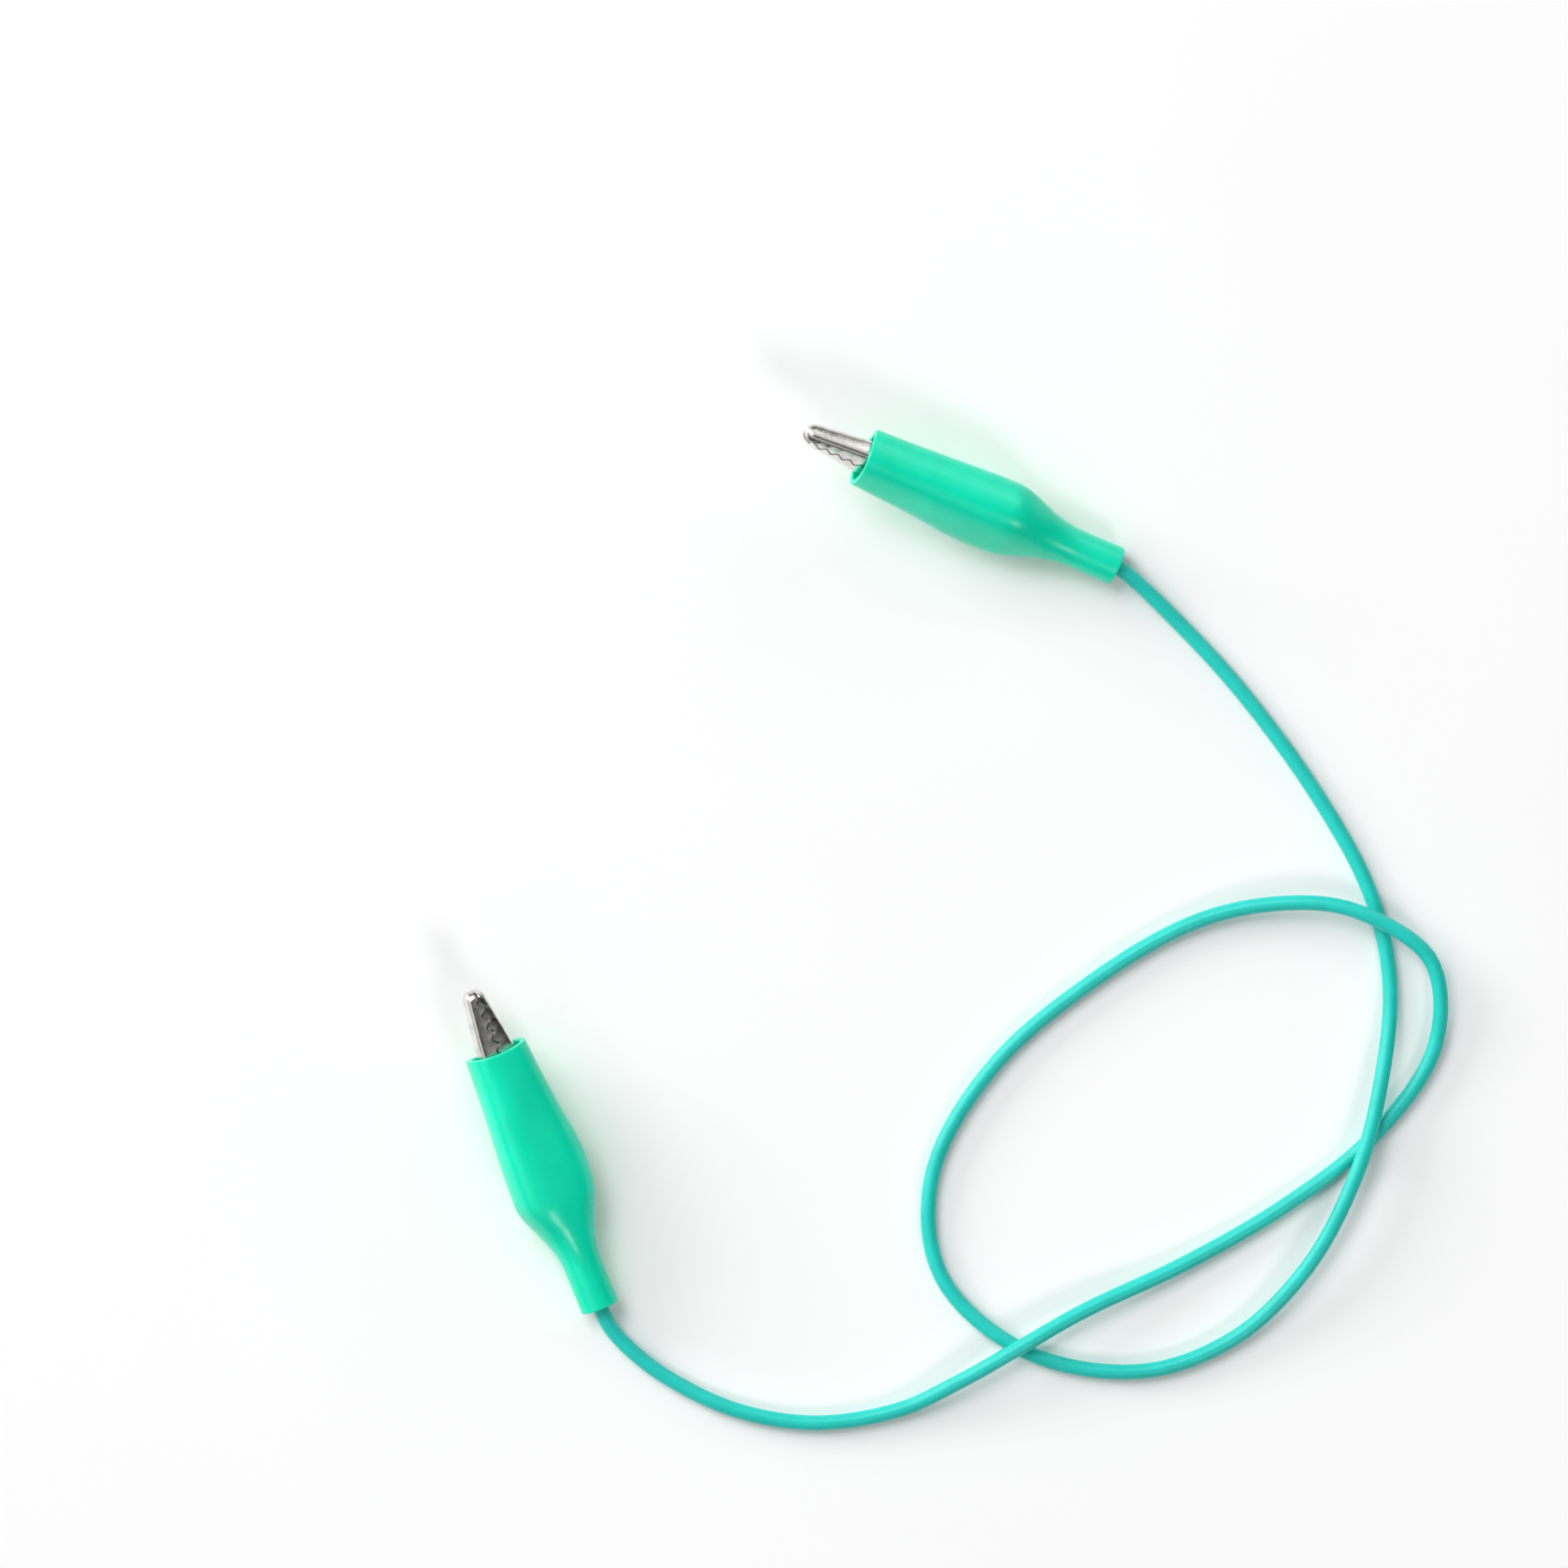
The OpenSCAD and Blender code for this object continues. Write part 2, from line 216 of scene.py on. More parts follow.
def clip_matrix(side):
    """From a clip's own frame, in millimetres, to the lead's frame, in metres."""
    joint = next(j for j in frame["joints"] if j["name"] == f"jaw_hinge_{side}")
    mount = next(m for m in frame["record"]["mounts"] if m["name"] == f"bite_{side}")
    nose = Vector(mount["axis"]).normalized()
    hinge = -Vector(joint["axis"]).normalized()
    turn = Matrix((nose, hinge, nose.cross(hinge))).transposed().to_4x4()
    return Matrix.Translation(Vector(joint["pos_m"])) @ turn @ Matrix.Scale(MM, 4)


def clip_turn(side):
    """The turn that takes the lead's frame back to a clip's own, for patterns that run along the clip."""
    return clip_matrix(side).to_3x3().normalized().inverted().to_euler()


def handle_z(x):
    """Height of a handle's outside face above the bite."""
    return SPINE_HINGE_Z + HANDLE_SLOPE * (HANDLE_FROM_X - x)


def crimp_z(x, s):
    """Height of the crimped wire's axis, below the bite."""
    return s["sheet"] - handle_z(x) + (s["wire"] / 2 + BED) * math.hypot(1, HANDLE_SLOPE)


def between(points, x, column=1):
    """A smooth value at x from rows that start with x, in either order."""
    rows = sorted(points)
    i = max(1, min(len(rows) - 1, sum(1 for r in rows if r[0] < x)))
    low, high = rows[i - 1], rows[i]
    before, after = rows[max(0, i - 2)], rows[min(len(rows) - 1, i + 1)]
    t = (x - low[0]) / (high[0] - low[0])
    t = max(0.0, min(1.0, t))
    span = high[0] - low[0]
    start = (high[column] - before[column]) / (high[0] - before[0]) * span
    end = (after[column] - low[column]) / (after[0] - low[0]) * span
    return (
        (2 * t**3 - 3 * t**2 + 1) * low[column]
        + (t**3 - 2 * t**2 + t) * start
        + (3 * t**2 - 2 * t**3) * high[column]
        + (t**3 - t**2) * end
    )


def smooth_curve(points, steps):
    """A smooth line through the points between the first and the last."""
    line = []
    for p0, p1, p2, p3 in zip(points, points[1:], points[2:], points[3:]):
        for k in range(steps):
            t = k / steps
            line.append(
                0.5
                * (
                    2 * p1
                    + (p2 - p0) * t
                    + (2 * p0 - 5 * p1 + 4 * p2 - p3) * t * t
                    + (3 * p1 - p0 - 3 * p2 + p3) * t**3
                )
            )
    return line + [points[-2]]


# ---------------------------------------------------------------- making pieces


def new_piece(name, bm):
    """A mesh object from bm."""
    mesh = bpy.data.meshes.new(name)
    bm.to_mesh(mesh)
    bm.free()
    piece = bpy.data.objects.new(name, mesh)
    bpy.context.scene.collection.objects.link(piece)
    return piece


def lay(piece, side):
    """Takes a mesh from the clip's frame, in millimetres, to its place in the lead."""
    piece.data.transform(clip_matrix(side))


def apply_modifiers(piece):
    """Makes the modified shape the piece's own mesh."""
    graph = bpy.context.evaluated_depsgraph_get()
    mesh = bpy.data.meshes.new_from_object(piece.evaluated_get(graph), depsgraph=graph)
    piece.modifiers.clear()
    old = piece.data
    piece.data = mesh
    bpy.data.meshes.remove(old)
    mesh.name = piece.name


def shade(piece, angle):
    """Smooth shading, with edges sharper than angle degrees kept."""
    for polygon in piece.data.polygons:
        polygon.use_smooth = True
    piece.data.set_sharp_from_angle(angle=math.radians(angle))


def dress(piece, material):
    """Gives the piece its one material."""
    piece.data.materials.clear()
    piece.data.materials.append(material)


def add_bevel(piece, width, segments, angle):
    """Rounds the edges that are sharper than angle degrees."""
    bevel = piece.modifiers.new("edges", "BEVEL")
    bevel.width = width
    bevel.segments = segments
    bevel.limit_method = "ANGLE"
    bevel.angle_limit = math.radians(angle)
    bevel.use_clamp_overlap = True


# ---------------------------------------------------------------- materials


class Nodes:
    """A small helper that wires one material's nodes."""

    def __init__(self, name):
        self.material = bpy.data.materials.new(name)
        self.material.use_nodes = True
        self.tree = self.material.node_tree
        self.shader = self.tree.nodes["Principled BSDF"]

    def add(self, kind, inputs=(), **settings):
        """A node with its settings and its inputs, by name, as values or as sockets to link."""
        node = self.tree.nodes.new(kind)
        for key, value in settings.items():
            setattr(node, key, value)
        for key, value in dict(inputs).items():
            if isinstance(value, bpy.types.NodeSocket):
                self.tree.links.new(value, node.inputs[key])
            else:
                node.inputs[key].default_value = value
        return node

    def link(self, socket, key):
        """Links a socket to one of the shader's inputs."""
        self.tree.links.new(socket, self.shader.inputs[key])

    def place(self, turn=(0, 0, 0), scale=(1, 1, 1)):
        """Object coordinates, turned and scaled."""
        where = self.add("ShaderNodeTexCoord").outputs["Object"]
        turned = self.add("ShaderNodeMapping", {"Vector": where, "Rotation": turn})
        stretched = {"Vector": turned.outputs[0], "Scale": scale}
        return self.add("ShaderNodeMapping", stretched).outputs[0]

    def noise(self, where, scale, detail=3.0, roughness=0.5):
        """A noise value over the place."""
        inputs = {"Vector": where, "Scale": scale, "Detail": detail, "Roughness": roughness}
        return self.add("ShaderNodeTexNoise", inputs).outputs["Fac"]

    def ramp(self, value, low, high, bottom=0.0, top=1.0):
        """A value between bottom and top, as value goes from low to high."""
        inputs = {"Value": value, "From Min": low, "From Max": high, "To Min": bottom, "To Max": top}
        return self.add("ShaderNodeMapRange", inputs).outputs["Result"]

    def mix(self, factor, first, second):
        """A colour between two."""
        node = self.add("ShaderNodeMix", data_type="RGBA")
        self.tree.links.new(factor, node.inputs[0])
        node.inputs[6].default_value = first
        node.inputs[7].default_value = second
        return node.outputs[2]

    def bump(self, height, distance, strength, under=None):
        """A bump of height over distance metres."""
        inputs = {"Height": height, "Distance": distance, "Strength": strength}
        if under is not None:
            inputs["Normal"] = under
        return self.add("ShaderNodeBump", inputs).outputs["Normal"]


def sleeve_material(side):
    """Glossy soft vinyl: a little see-through, faintly mottled, with the soft dimples of a dipped skin."""
    m = Nodes(f"soft_vinyl_sleeve_{side}")
    where = m.place(clip_turn(side))
    along = m.place(clip_turn(side), (0.25, 1.0, 1.0))
    mottle = m.noise(where, 130.0, 4.0)
    m.link(m.mix(m.ramp(mottle, 0.38, 0.62), colours().sleeve_deep, colours().sleeve), "Base Color")
    smear = m.noise(along, 420.0, 2.0)
    m.link(m.ramp(smear, 0.3, 0.7, 0.27, 0.34), "Roughness")
    dimple = m.bump(m.noise(where, 330.0, 2.0), 0.0003, 0.42)
    skin = m.bump(m.noise(where, 2600.0, 1.0), 0.00001, 0.12, dimple)
    m.link(skin, "Normal")
    m.shader.inputs["IOR"].default_value = 1.5
    m.shader.inputs["Subsurface Weight"].default_value = 0.12
    m.shader.inputs["Specular IOR Level"].default_value = 0.4
    m.shader.inputs["Subsurface Radius"].default_value = (0.3, 1.0, 0.7)
    m.shader.inputs["Subsurface Scale"].default_value = 0.0012
    m.shader.inputs["Coat Weight"].default_value = 0.12
    m.shader.inputs["Coat Roughness"].default_value = 0.22
    return m.material


def wire_material():
    """Satin vinyl insulation: a faint mottle, a varied gloss and fine rubbed marks."""
    m = Nodes("satin_vinyl_insulation")
    where = m.place()
    mottle = m.noise(where, 220.0, 5.0, 0.6)
    m.link(m.mix(m.ramp(mottle, 0.3, 0.7), colours().wire_deep, colours().wire), "Base Color")
    m.link(m.ramp(m.noise(where, 1600.0, 4.0), 0.3, 0.7, 0.34, 0.5), "Roughness")
    waver = m.bump(m.noise(where, 500.0, 2.0), 0.00012, 0.25)
    m.link(m.bump(m.noise(where, 6000.0, 2.0), 0.00002, 0.3, waver), "Normal")
    m.shader.inputs["IOR"].default_value = 1.5
    m.shader.inputs["Subsurface Weight"].default_value = 0.08
    m.shader.inputs["Subsurface Radius"].default_value = (0.3, 1.0, 0.9)
    m.shader.inputs["Subsurface Scale"].default_value = 0.0008
    return m.material


def metal_material(name, bright, dull, turn, stretch, rough, grain):
    """Plated or drawn metal: marks that run along the clip, thin patches and a fine tumbled grain."""
    m = Nodes(name)
    where = m.place(turn)
    along = m.place(turn, stretch)
    patches = m.noise(where, 700.0, 4.0, 0.6)
    m.link(m.mix(m.ramp(patches, 0.25, 0.5), dull, bright), "Base Color")
    marks = m.noise(along, grain, 6.0, 0.65)
    m.link(m.ramp(marks, 0.3, 0.7, rough[0], rough[1]), "Roughness")
    dents = m.bump(m.noise(where, 900.0, 2.0), 0.00005, 0.35)
    m.link(m.bump(marks, 0.00001, 0.5, dents), "Normal")
    m.shader.inputs["Metallic"].default_value = 1.0
    return m.material


def nickel_material(side):
    """Bright nickel plate on pressed steel."""
    group = colours()
    return metal_material(
        f"nickel_plate_{side}", group.nickel, group.nickel_dull, clip_turn(side),
        (0.12, 1.0, 1.0), (0.13, 0.3), 5200.0,
    )


def steel_material(side):
    """Drawn spring wire."""
    group = colours()
    dull = [0.6 * c for c in group.steel[:3]] + [1.0]
    return metal_material(
        f"spring_steel_{side}", group.steel, dull, clip_turn(side), (1.0, 0.3, 1.0), (0.22, 0.4), 4000.0
    )


def copper_material(side):
    """Bare copper, a little browned by handling."""
    group = colours()
    brown = [0.55 * c for c in group.copper[:3]] + [1.0]
    return metal_material(
        f"bare_copper_{side}", group.copper, brown, clip_turn(side), (0.2, 1.0, 1.0), (0.25, 0.42), 3000.0
    )


def floor_material():
    """Matt white board with a hardly visible tooth."""
    m = Nodes("matt_white_board")
    where = m.place()
    shade_of_white = [0.985 * c for c in colours().floor[:3]] + [1.0]
    m.link(m.mix(m.noise(where, 40.0, 5.0), shade_of_white, colours().floor), "Base Color")
    m.link(m.bump(m.noise(where, 2500.0, 3.0), 0.00002, 0.2), "Normal")
    m.shader.inputs["Roughness"].default_value = 0.75
    m.shader.inputs["Specular IOR Level"].default_value = 0.2
    return m.material


# ---------------------------------------------------------------- stage


def area_light(name, place, aim, size, energy):
    """A soft box at place that shines at aim."""
    light = bpy.data.lights.new(name, "AREA")
    light.shape = "RECTANGLE"
    light.size, light.size_y = size
    light.energy = energy
    lamp = bpy.data.objects.new(name, light)
    lamp.location = place
    lamp.rotation_euler = (Vector(aim) - Vector(place)).to_track_quat("-Z", "Y").to_euler()
    bpy.context.scene.collection.objects.link(lamp)


def studio_sky():
    """Soft light from all round, with a dark band and a dim side that give the metal its contrast."""
    world = bpy.data.worlds.new("studio")
    world.use_nodes = True
    tree = world.node_tree
    tree.nodes.clear()
    where = tree.nodes.new("ShaderNodeTexCoord")
    split = tree.nodes.new("ShaderNodeSeparateXYZ")
    tree.links.new(where.outputs["Generated"], split.inputs[0])
    band = tree.nodes.new("ShaderNodeValToRGB")
    # Brightness by how high a direction points, from 0 at the horizon to 1 straight up
    levels = [(0.0, 0.9), (0.08, 0.8), (0.16, 0.06), (0.42, 0.06), (0.55, 0.95), (0.84, 1.0), (0.96, 0.12)]
    while len(band.color_ramp.elements) < len(levels):
        band.color_ramp.elements.new(0.5)
    for element, (height, level) in zip(band.color_ramp.elements, levels):
        element.position = height
        element.color = (level, level, level, 1.0)
    tree.links.new(split.outputs["Z"], band.inputs[0])
    lit = tree.nodes.new("ShaderNodeBackground")
    lit.inputs["Strength"].default_value = 0.9
    facing = tree.nodes.new("ShaderNodeVectorMath")
    facing.operation = "DOT_PRODUCT"
    facing.inputs[1].default_value = (-0.85, 0.5, 0.0)
    tree.links.new(where.outputs["Generated"], facing.inputs[0])
    window_side = tree.nodes.new("ShaderNodeMapRange")
    for key, value in {"From Min": -0.6, "From Max": 0.4, "To Min": 0.12, "To Max": 1.2}.items():
        window_side.inputs[key].default_value = value
    tree.links.new(facing.outputs["Value"], window_side.inputs["Value"])
    tint = tree.nodes.new("ShaderNodeMix")
    tint.data_type = "RGBA"
    tint.blend_type = "MULTIPLY"
    tint.inputs[0].default_value = 1.0
    tree.links.new(band.outputs[0], tint.inputs[6])
    tree.links.new(window_side.outputs["Result"], tint.inputs[7])
    tree.links.new(tint.outputs[2], lit.inputs["Color"])
    seen = tree.nodes.new("ShaderNodeBackground")
    seen.inputs["Color"].default_value = (0.9, 0.9, 0.9, 1.0)
    seen.inputs["Strength"].default_value = 1.0
    path = tree.nodes.new("ShaderNodeLightPath")
    mix = tree.nodes.new("ShaderNodeMixShader")
    tree.links.new(path.outputs["Is Camera Ray"], mix.inputs[0])
    tree.links.new(lit.outputs[0], mix.inputs[1])
    tree.links.new(seen.outputs[0], mix.inputs[2])
    output = tree.nodes.new("ShaderNodeOutputWorld")
    tree.links.new(mix.outputs[0], output.inputs["Surface"])
    bpy.context.scene.world = world


class CLIPLEAD_OT_stage(bpy.types.Operator):
    """Sets the camera straight above, the soft lights and the white board"""

    bl_idname = "cliplead.stage"
    bl_label = "Stage"

    def execute(self, context):
        bm = bmesh.new()
        bmesh.ops.create_grid(bm, x_segments=1, y_segments=1, size=1.5)
        floor = new_piece("white_board", bm)
        floor.data.materials.append(floor_material())
        studio_sky()
        area_light("key_box", (-0.5, 0.6, 1.2), LIGHT_AIM, (0.7, 0.7), 7.5)
        area_light("front_box", (0.45, -0.8, 0.85), LIGHT_AIM, (0.3, 0.3), 3.0)
        area_light("side_box", (-1.5, 0.92, 0.6), LIGHT_AIM, (1.1, 0.6), 22.0)
        area_light("back_card", (0.87, 1.07, 0.59), LIGHT_AIM, (0.7, 0.5), 2.2)
        camera = bpy.data.objects.new("camera", bpy.data.cameras.new("camera"))
        camera.data.sensor_width = 36.0
        camera.data.lens = camera.data.sensor_width * CAMERA_HEIGHT / FRAME_WIDTH
        camera.data.clip_start = 0.01
        camera.data.clip_end = 20.0
        camera.location = (*FRAME_MIDDLE, CAMERA_HEIGHT)
        context.scene.collection.objects.link(camera)
        context.scene.camera = camera
        context.scene.view_settings.view_transform = "Standard"
        return {"FINISHED"}


# ---------------------------------------------------------------- wire


def inside_clip(side, s):
    """The wire's points inside a sleeve, from the crimp to the end of the collar."""
    ends = [(x, 0.0, crimp_z(x, s)) for x in (JACKET_END_X, CRIMP_END_X)]
    return [clip_matrix(side) @ Vector(p) for p in ends + INSIDE + [(TAIL_X, 0.0, 0.0)]]


def wire_line():
    """The middle line of the wire, from crimp to crimp, in metres."""
    s = sizes()
    first, last = inside_clip("a", s), inside_clip("b", s)
    surface = [Vector(p) * MM for p in ROUTE]
    line = smooth_curve(first + surface + last[::-1], 8)
    lowest = s["wire"] / 2 * MM
    line = [Vector((p.x, p.y, max(p.z, lowest))) for p in line]
    return [first[0]] + line + [last[0]]


class CLIPLEAD_OT_wire(bpy.types.Operator):
    """Lays the insulated wire from clip to clip, with its knot"""

    bl_idname = "cliplead.wire"
    bl_label = "Wire"

    def execute(self, context):
        line = wire_line()
        curve = bpy.data.curves.new("insulated_wire", "CURVE")
        curve.dimensions = "3D"
        curve.bevel_depth = sizes()["wire"] / 2 * MM
        curve.bevel_resolution = 6
        curve.use_fill_caps = True
        spline = curve.splines.new("POLY")
        spline.points.add(len(line) - 1)
        for point, place in zip(spline.points, line):
            point.co = (*place, 1.0)
        spline.use_smooth = True
        curve.materials.append(wire_material())
        wire = bpy.data.objects.new("insulated_wire", curve)
        context.scene.collection.objects.link(wire)
        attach(wire, "lead")
        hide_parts("wire_jacket")
        sizes()["wire"] * MM
        return {"FINISHED"}


# ---------------------------------------------------------------- sleeves


def sleeve_shape(x, angle):
    """A point of the sleeve's outside: oval and squarer over the handles, round at the collar."""
    tall, wide = between(SLEEVE, x), between(SLEEVE, x, 2)
    power = 2.0 + ADDED_POWER * max(0.0, min(1.0, (x - COLLAR_X) / 6))
    c, w = math.cos(angle), math.sin(angle)
    z = between(SLEEVE, x, 3) + tall * math.copysign(abs(c) ** (2 / power), c)
    y = wide * math.copysign(abs(w) ** (2 / power), w)
    return Vector((x, y, z))


def window(x, middle, width):
    """A soft bump round middle."""
    return math.exp(-(((x - middle) / width) ** 2))


def handle_print(p, seed):
    """How far the soft wall falls in at p, as a negative length in millimetres.

    It is pinched behind the handles, sags at its sides between them and is slack everywhere but at the tail.
    """
    pinch_depth, sag_depth, slack_depth = 0.1, 0.16, 0.07
    angle = math.atan2(p.y, p.z)
    pinch = -pinch_depth * window(p.x, -15.5, 1.8) * (0.5 + 0.5 * math.cos(4 * angle + math.pi))
    sag = -sag_depth * (window(p.x, 2.0, 4.0) + window(p.x, -7.5, 3.0)) * abs(math.sin(angle)) ** 3
    slack = -slack_depth - slack_depth * noise.noise(Vector((p.x * 0.16, p.y * 0.3, p.z * 0.3 + seed)))
    return pinch + sag + slack * min(1.0, (p.x - TAIL_X) / 6)


class CLIPLEAD_OT_sleeves(bpy.types.Operator):
    """Moulds the soft sleeve of each clip"""

    bl_idname = "cliplead.sleeves"
    bl_label = "Sleeves"

    def execute(self, context):
        for seed, side in enumerate(SIDES):
            self.sleeve(side, 7.3 * seed + 1.7)
        return {"FINISHED"}

    def sleeve(self, side, seed):
        """A tube drawn out ring by ring from the mouth, then given its wall."""
        around, rings = 56, 74
        bm = bmesh.new()
        circle = bmesh.ops.create_circle(bm, cap_ends=False, segments=around, radius=1.0)["verts"]
        turns = {v: math.atan2(v.co.y, v.co.x) for v in circle}
        shares = [0.0, 0.004, 0.012] + [i / rings for i in range(1, rings)] + [0.988, 0.996, 1.0]
        for number, share in enumerate(shares):
            if number:
                edges = [e for e in bm.edges if e.verts[0] in turns and e.verts[1] in turns]
                drawn = bmesh.ops.extrude_edge_only(bm, edges=edges)["geom"]
                fresh = [v for v in drawn if isinstance(v, bmesh.types.BMVert)]
                turns = {
                    v: next(turns[e.other_vert(v)] for e in v.link_edges if e.other_vert(v) in turns)
                    for v in fresh
                }
            x = MOUTH_X + share * (TAIL_X - MOUTH_X)
            for v, angle in turns.items():
                v.co = sleeve_shape(x, angle)
        for v in bm.verts:
            middle = Vector((v.co.x, 0.0, 0.0))
            out = (v.co - middle).normalized()
            dip = MOUTH_DIP * window(v.co.x, MOUTH_X, 1.2) * abs(out.y) ** 2
            v.co += out * handle_print(v.co, seed) - Vector((dip, 0.0, 0.0))
        bmesh.ops.recalc_face_normals(bm, faces=bm.faces)
        piece = new_piece(f"boot_skin_{side}", bm)
        wall = piece.modifiers.new("wall", "SOLIDIFY")
        wall.thickness = sizes()["wall"]
        wall.offset = -1.0
        add_bevel(piece, 0.2, 3, 50)
        apply_modifiers(piece)
        lay(piece, side)
        shade(piece, 60)
        dress(piece, sleeve_material(side))
        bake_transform(piece)
        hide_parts(f"boot_{side}")


# ---------------------------------------------------------------- jaws


def jaw_half_width(x, half_ear):
    """Half the width of a jaw's plan at x, with its round nose and handle."""
    if x > NOSE_X - NOSE_R:
        return math.sqrt(max(0.0, NOSE_R**2 - (x - NOSE_X + NOSE_R) ** 2))
    if x < HANDLE_R - HANDLE_X:
        return math.sqrt(max(0.0, HANDLE_R**2 - (x + HANDLE_X - HANDLE_R) ** 2))
    plan = [
        (HANDLE_R - HANDLE_X, HANDLE_R), (-5.5, HANDLE_R), (-3.5, half_ear), (4.4, half_ear),
        (TEETH_END_X, NOSE_R + 0.3), (MOUTH_X, NOSE_R + 0.2), (NOSE_X - NOSE_R, NOSE_R),
    ]
    low, high = next((a, b) for a, b in zip(plan, plan[1:]) if a[0] <= x <= b[0])
    return low[1] + (high[1] - low[1]) * (x - low[0]) / (high[0] - low[0])


def bite(x, s, mesh_sign):
    """Height of the toothed edge: points and hollows a little rounded, flat at the nose and the throat."""
    first = NOSE_X - NOSE_LAND
    count = math.floor((first - TEETH_END_X) / s["pitch"])
    if x > first or x < first - count * s["pitch"]:
        return BITE_GAP
    phase = (first - x) / s["pitch"] % 1.0
    wave = 1.0 - 4.0 * abs(phase - 0.5)
    rounded = wave * (1.0 - TOOTH_ROUNDING * wave * wave) / 0.9
    fade = min(1.0, (first - x) / TOOTH_FADE, (x - first + count * s["pitch"]) / TOOTH_FADE)
    return BITE_GAP + mesh_sign * rounded * s["tooth"] / 2 * fade


def wall_foot(x, s, mesh_sign, roof):
    """Height of a side wall's lower edge at x: the bite, the ear, then the wall that dies into the handle."""
    lip = 0.28
    if x > EAR_R:
        return bite(x, s, mesh_sign)
    if x > -EAR_R:
        return min(0.08, -math.sqrt(max(0.0, EAR_R**2 - x * x)))
    if x > REAR_WALL_X:
        rise = (-EAR_R - x) / (-EAR_R - REAR_WALL_X)
        return rise * (roof - s["sheet"] - lip)
    return roof - s["sheet"] - lip * (0.4 + 0.6 * max(0.0, 1 + (x - REAR_WALL_X) / 2))


def jaw_stations(s):
    """Places along the jaw, close together on the round ends, the teeth and the ear."""
    nose = [NOSE_X - NOSE_R * (1 - math.cos(math.radians(a))) for a in range(0, 90, 9)]
    teeth = [NOSE_X - NOSE_R - i * s["pitch"] / 8 for i in range(48)]
    throat_x = teeth[-1]
    throat = [throat_x + (EAR_R - throat_x) * i / 14 for i in range(1, 14)]
    ear = [EAR_R * math.cos(math.radians(a)) for a in range(0, 181, 9)]
    rear = [-EAR_R + (REAR_WALL_X + EAR_R) * i / 10 for i in range(1, 11)]
    handle_end = HANDLE_R - HANDLE_X
    handle = [REAR_WALL_X + (handle_end - REAR_WALL_X) * i / 10 for i in range(1, 10)]
    end = [handle_end - HANDLE_R * math.sin(math.radians(a)) for a in range(0, 91, 9)]
    return nose + teeth + throat + ear + rear + handle + end


def fold_point(across, x, s, half_ear, mesh_sign):
    """A point of the folded sheet's outside: across runs from -1, one wall's foot, to 1, the other's."""
    roof = between(SPINE, x) if x > HANDLE_FROM_X else handle_z(x)
    half = jaw_half_width(x, half_ear)
    foot = min(wall_foot(x, s, mesh_sign, roof), roof - 0.12)
    draft = DRAFT * min(1.0, half) * max(0.0, min(1.0, (x - 3.5) / 3))
    fold = min(s["fold"], 0.85 * (half - draft), 0.8 * (roof - foot))
    side, reach = math.copysign(1.0, across), abs(across)
    if reach > FOLD_SHARE:
        down = (reach - FOLD_SHARE) / (1 - FOLD_SHARE)
        z = roof - fold + (foot - roof + fold) * down
        return Vector((x, side * (half - draft * (1 - down) ** 1.6), z))
    half -= draft
    crown = CROWN * min(1.0, half)
    if reach > FLAT_SHARE:
        a = (reach - FLAT_SHARE) / (FOLD_SHARE - FLAT_SHARE) * math.pi / 2
        y = half - fold + fold * math.sin(a)
        return Vector((x, side * y, roof - fold + fold * math.cos(a) - crown * 0.5))
    y = (half - fold) * reach / FLAT_SHARE
    return Vector((x, side * y, roof - crown * 0.5 * (reach / FLAT_SHARE) ** 2))


def folded_jaw(s, half_ear, mesh_sign):
    """The jaw's sheet, as a grid folded into a channel, in the clip's frame."""
    stations = jaw_stations(s)
    columns = 24
    bm = bmesh.new()
    bmesh.ops.create_grid(bm, x_segments=len(stations) - 1, y_segments=columns, size=1.0)
    for v in bm.verts:
        row = round((v.co.x + 1) / 2 * (len(stations) - 1))
        v.co = fold_point(v.co.y, stations[row], s, half_ear, mesh_sign)
    bmesh.ops.remove_doubles(bm, verts=bm.verts, dist=0.004)
    bmesh.ops.recalc_face_normals(bm, faces=bm.faces)
    return bm


def crimp_tabs(bm, crimp, bore, s):
    """A pair of tabs rolled round the wire, standing on the handle."""
    x, length, opening = crimp
    grid = bmesh.ops.create_grid(bm, x_segments=6, y_segments=28, size=1.0)["verts"]
    middle = Vector((x, 0.0, crimp_z(x, s)))
    tilt = Matrix.Rotation(-math.atan(HANDLE_SLOPE), 3, "Y")
    for v in grid:
        angle = v.co.y * (math.pi - opening)
        r = bore + 0.3
        v.co = middle + tilt @ Vector((v.co.x * length / 2, r * math.sin(angle), -r * math.cos(angle)))


def cut_hole(piece, radius):
    """Pierces both ears for the rivet."""
    bm = bmesh.new()
    bmesh.ops.create_cone(
        bm, cap_ends=True, segments=48, radius1=radius, radius2=radius, depth=8.0,
        matrix=Matrix.Rotation(math.pi / 2, 4, "X"),
    )
    drill = new_piece("drill", bm)
    cut = piece.modifiers.new("rivet_hole", "BOOLEAN")
    cut.object = drill
    cut.operation = "DIFFERENCE"
    cut.solver = "EXACT"
    apply_modifiers(piece)
    bpy.data.objects.remove(drill)


def clear_slivers(piece):
    """Closes up the edges that are too short to be seen, with the slivers beside them."""
    too_short = 0.0004
    bm = bmesh.new()
    bm.from_mesh(piece.data)
    bmesh.ops.dissolve_degenerate(bm, dist=too_short, edges=bm.edges)
    bm.to_mesh(piece.data)
    bm.free()


